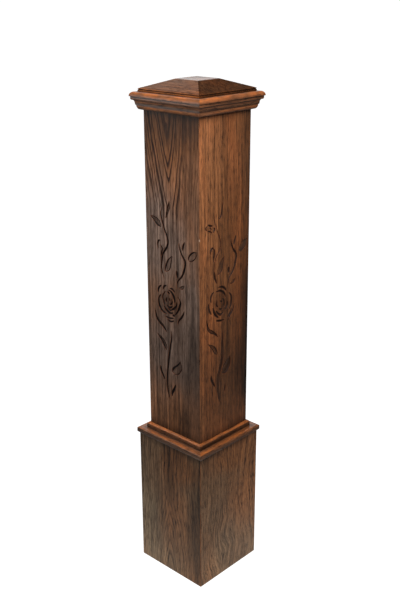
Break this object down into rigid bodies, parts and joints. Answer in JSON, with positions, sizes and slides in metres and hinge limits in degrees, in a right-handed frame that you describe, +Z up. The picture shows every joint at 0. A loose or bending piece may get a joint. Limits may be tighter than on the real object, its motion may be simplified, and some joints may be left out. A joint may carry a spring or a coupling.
{
  "type": "newel post",
  "caption": "Square boxed newel post of dark stained wood with an incised climbing rose on its faces, a boarded foot, moulded collar and low pyramid cap.",
  "frame": {"origin": "middle of the foot's underside, on the floor", "axes": "+Z up the post; -Y out of the front carved face, +X out of the right carved face"},
  "size_m": [0.2128, 0.2128, 1.2017],
  "materials": {
    "stained_oak": "dark red-brown stain under satin varnish, open grain"
  },
  "bodies": {
    "root": {"shaft_board_front": "stained_oak", "shaft_board_right": "stained_oak", "shaft_board_back": "stained_oak", "shaft_board_left": "stained_oak", "base_board_front": "stained_oak", "base_board_right": "stained_oak", "base_board_back": "stained_oak", "base_board_left": "stained_oak", "shelf_moulding_front": "stained_oak", "shelf_moulding_right": "stained_oak", "shelf_moulding_back": "stained_oak", "shelf_moulding_left": "stained_oak", "bead_moulding_front": "stained_oak", "bead_moulding_right": "stained_oak", "bead_moulding_back": "stained_oak", "bead_moulding_left": "stained_oak", "bed_moulding_front": "stained_oak", "bed_moulding_right": "stained_oak", "bed_moulding_back": "stained_oak", "bed_moulding_left": "stained_oak", "collar_front": "stained_oak", "collar_right": "stained_oak", "collar_back": "stained_oak", "collar_left": "stained_oak", "cap_block": "stained_oak"}
  },
  "joints": []
}
